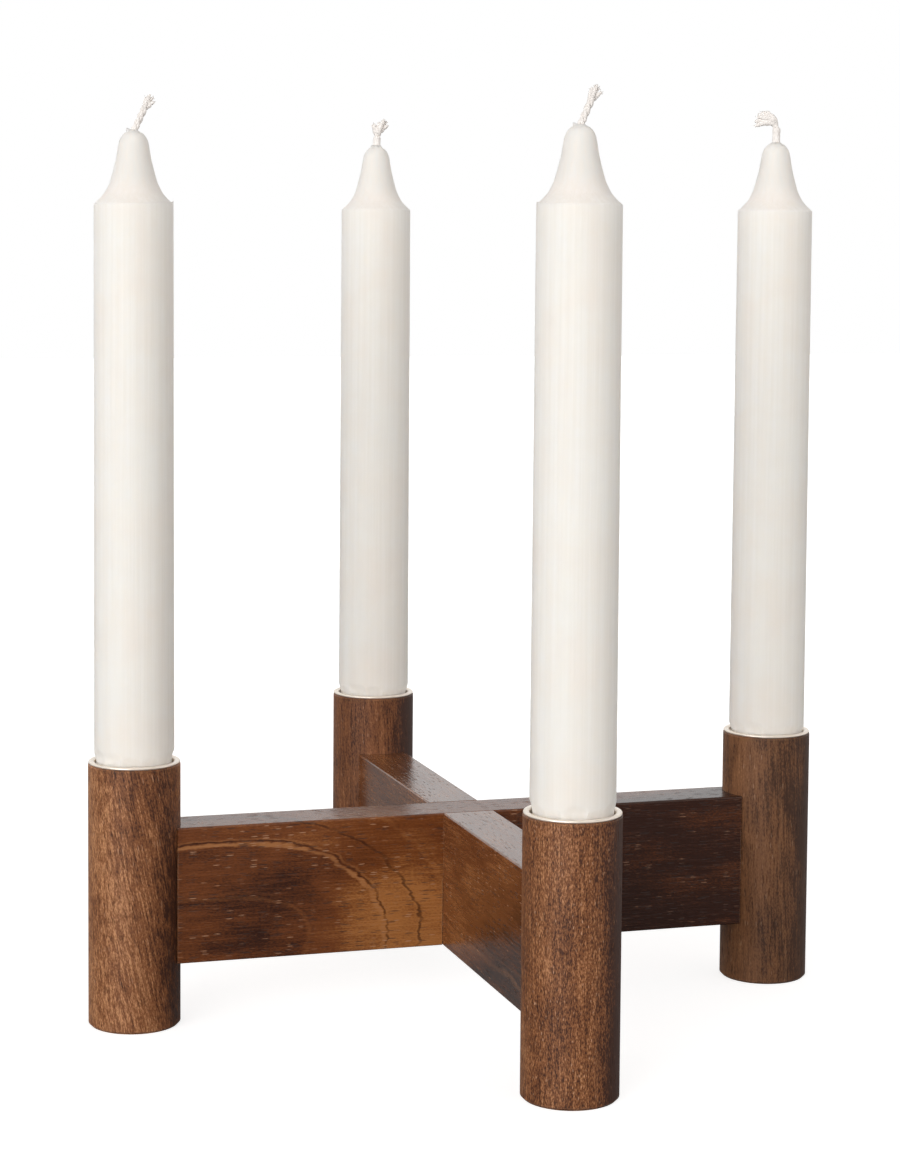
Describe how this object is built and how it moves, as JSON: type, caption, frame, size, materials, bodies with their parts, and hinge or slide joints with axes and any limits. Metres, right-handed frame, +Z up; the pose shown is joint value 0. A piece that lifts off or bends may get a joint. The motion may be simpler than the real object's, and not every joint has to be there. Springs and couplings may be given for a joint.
{
  "type": "advent candle holder",
  "caption": "Cross-shaped wooden candle holder: half-lapped bars carry round posts, and metal cups in the posts hold tall straight candles that lift out.",
  "frame": {"origin": "on the floor plane under the crossing of the bars", "axes": "+Z up along the candles, +X along the upper cross bar, +Y along the lower cross bar"},
  "size_m": [0.2144, 0.2144, 0.2563],
  "materials": {
    "bar_wood": "satin oiled brown hardwood",
    "post_wood": "satin oiled brown hardwood",
    "dowel_wood": "raw beech",
    "cup_metal": "bright spun metal",
    "candle_wax": "smooth white wax",
    "wick_cotton": "braided cotton"
  },
  "bodies": {
    "holder": {"cross_bar_upper": "bar_wood", "cross_bar_lower": "bar_wood", "post_left": "post_wood", "post_right": "post_wood", "post_front": "post_wood", "post_back": "post_wood", "cup_left": "cup_metal", "cup_right": "cup_metal", "cup_front": "cup_metal", "cup_back": "cup_metal", "dowels_left": "dowel_wood", "dowels_right": "dowel_wood", "dowels_front": "dowel_wood", "dowels_back": "dowel_wood"},
    "left_candle": {"candle_left": "candle_wax", "wick_left": "wick_cotton"},
    "right_candle": {"candle_right": "candle_wax", "wick_right": "wick_cotton"},
    "front_candle": {"candle_front": "candle_wax", "wick_front": "wick_cotton"},
    "back_candle": {"candle_back": "candle_wax", "wick_back": "wick_cotton"}
  },
  "joints": [
    {"name": "left_candle_lift", "type": "slide", "parent": "holder", "child": "left_candle", "axis": [0, 0, 1], "range_m": [0, 0.03]},
    {"name": "right_candle_lift", "type": "slide", "parent": "holder", "child": "right_candle", "axis": [0, 0, 1], "range_m": [0, 0.03]},
    {"name": "front_candle_lift", "type": "slide", "parent": "holder", "child": "front_candle", "axis": [0, 0, 1], "range_m": [0, 0.03]},
    {"name": "back_candle_lift", "type": "slide", "parent": "holder", "child": "back_candle", "axis": [0, 0, 1], "range_m": [0, 0.03]}
  ]
}
